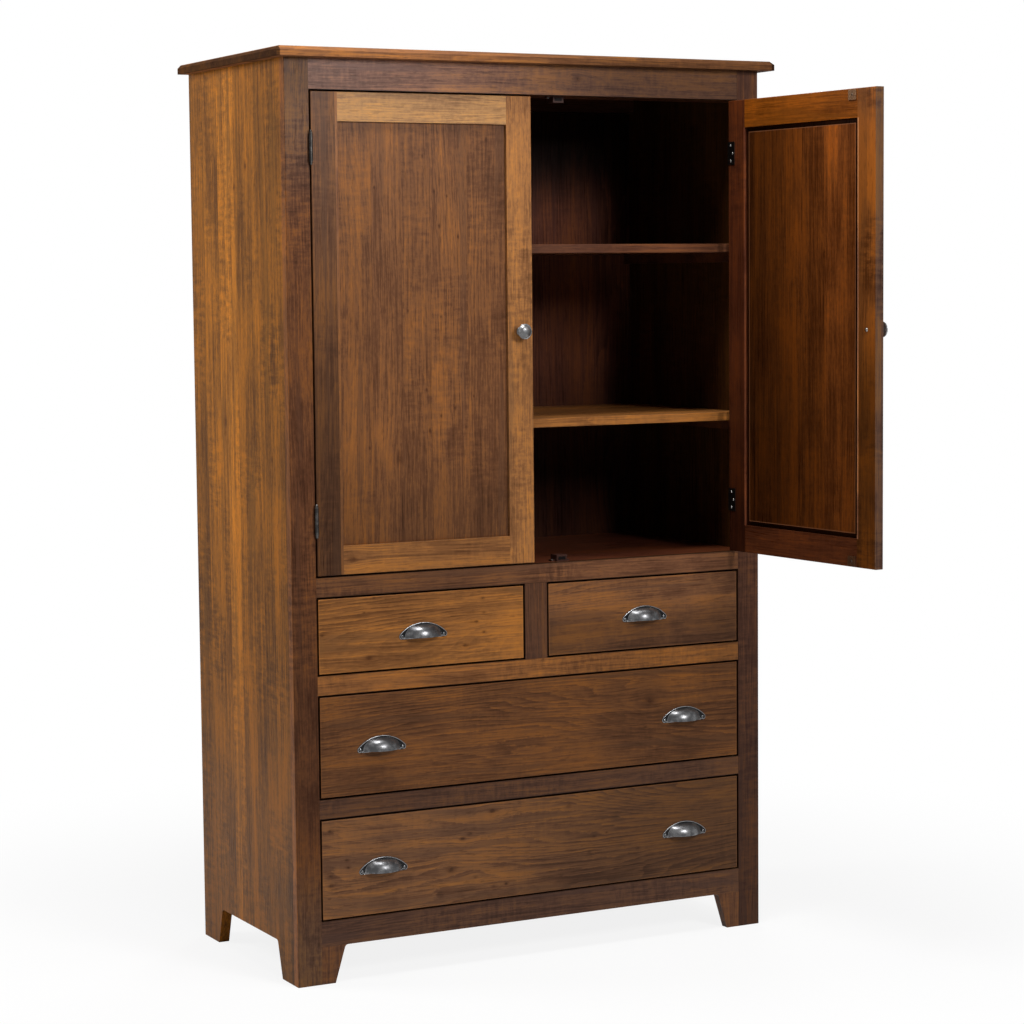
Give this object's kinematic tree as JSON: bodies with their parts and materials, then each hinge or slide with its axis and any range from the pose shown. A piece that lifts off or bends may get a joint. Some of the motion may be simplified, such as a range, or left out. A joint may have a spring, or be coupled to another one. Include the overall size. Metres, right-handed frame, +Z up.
{
  "type": "tv armoire",
  "caption": "Tall wooden armoire: a pair of framed panel doors on wrap hinges over inset drawers, with shelves inside and cup pulls.",
  "frame": {"origin": "on the floor, under the middle of the case between its sides and between its front and back", "axes": "+Z up, the front faces -Y, +X towards the right of a person who faces the front"},
  "size_m": [1.1148, 0.9837, 1.8212],
  "materials": {
    "case_side_wood": "stained maple boards, satin lacquer",
    "face_frame_wood": "dark stained maple, satin lacquer",
    "top_wood": "stained maple boards, satin lacquer",
    "inside_wood": "stained boards and ply, thin lacquer",
    "runner_wood": "bare hardwood",
    "door_wood": "stained maple, satin lacquer",
    "drawer_front_wood": "stained maple, satin lacquer",
    "drawer_box_wood": "pale maple, clear lacquer",
    "pewter": "antique pewter, worn rims",
    "hinge_metal": "dark antique plate",
    "strike_metal": "dull zinc plate",
    "magnet_metal": "dull pole plates",
    "catch_plastic": "brown moulding"
  },
  "bodies": {
    "carcass": {"side_left": "case_side_wood", "side_right": "case_side_wood", "stile_left": "face_frame_wood", "stile_right": "face_frame_wood", "foot_blocks": "face_frame_wood", "apron": "face_frame_wood", "lower_drawer_rail": "face_frame_wood", "upper_drawer_rail": "face_frame_wood", "door_rail": "face_frame_wood", "top_rail": "face_frame_wood", "centre_stile": "face_frame_wood", "top_board": "top_wood", "back_panel": "inside_wood", "cupboard_floor": "inside_wood", "base_panel": "inside_wood", "front_stretcher": "inside_wood", "back_stretcher": "inside_wood", "shelf_lower": "inside_wood", "shelf_upper": "inside_wood", "shelf_cleats": "inside_wood", "drawer_runners": "runner_wood", "centre_runner": "runner_wood", "catch_bodies": "catch_plastic", "catch_magnets": "magnet_metal", "frame_hinge_leaves": "hinge_metal", "hinge_pins": "hinge_metal"},
    "left_door": {"left_door_hinge_stile": "door_wood", "left_door_meeting_stile": "door_wood", "left_door_top_rail": "door_wood", "left_door_bottom_rail": "door_wood", "left_door_panel": "door_wood", "left_door_knob": "pewter", "left_door_strikes": "strike_metal", "left_door_hinge_leaves": "hinge_metal"},
    "right_door": {"right_door_hinge_stile": "door_wood", "right_door_meeting_stile": "door_wood", "right_door_top_rail": "door_wood", "right_door_bottom_rail": "door_wood", "right_door_panel": "door_wood", "right_door_knob": "pewter", "right_door_strikes": "strike_metal", "right_door_hinge_leaves": "hinge_metal"},
    "left_small_drawer": {"left_small_drawer_front": "drawer_front_wood", "left_small_drawer_box": "drawer_box_wood", "left_small_drawer_bottom": "drawer_box_wood", "left_small_drawer_pulls": "pewter"},
    "right_small_drawer": {"right_small_drawer_front": "drawer_front_wood", "right_small_drawer_box": "drawer_box_wood", "right_small_drawer_bottom": "drawer_box_wood", "right_small_drawer_pulls": "pewter"},
    "middle_drawer": {"middle_drawer_front": "drawer_front_wood", "middle_drawer_box": "drawer_box_wood", "middle_drawer_bottom": "drawer_box_wood", "middle_drawer_pulls": "pewter"},
    "lower_drawer": {"lower_drawer_front": "drawer_front_wood", "lower_drawer_box": "drawer_box_wood", "lower_drawer_bottom": "drawer_box_wood", "lower_drawer_pulls": "pewter"}
  },
  "joints": [
    {"name": "left_door_hinge", "type": "hinge", "parent": "carcass", "child": "left_door", "pos_m": [-0.4809, -0.254, 0], "axis": [0, 0, -1], "range_deg": [0, 170]},
    {"name": "right_door_hinge", "type": "hinge", "parent": "carcass", "child": "right_door", "pos_m": [0.4809, -0.254, 0], "axis": [0, 0, 1], "range_deg": [-94, 76]},
    {"name": "left_small_drawer_slide", "type": "slide", "parent": "carcass", "child": "left_small_drawer", "axis": [0, -1, 0], "range_m": [0, 0.32]},
    {"name": "right_small_drawer_slide", "type": "slide", "parent": "carcass", "child": "right_small_drawer", "axis": [0, -1, 0], "range_m": [0, 0.32]},
    {"name": "middle_drawer_slide", "type": "slide", "parent": "carcass", "child": "middle_drawer", "axis": [0, -1, 0], "range_m": [0, 0.32]},
    {"name": "lower_drawer_slide", "type": "slide", "parent": "carcass", "child": "lower_drawer", "axis": [0, -1, 0], "range_m": [0, 0.32]}
  ]
}
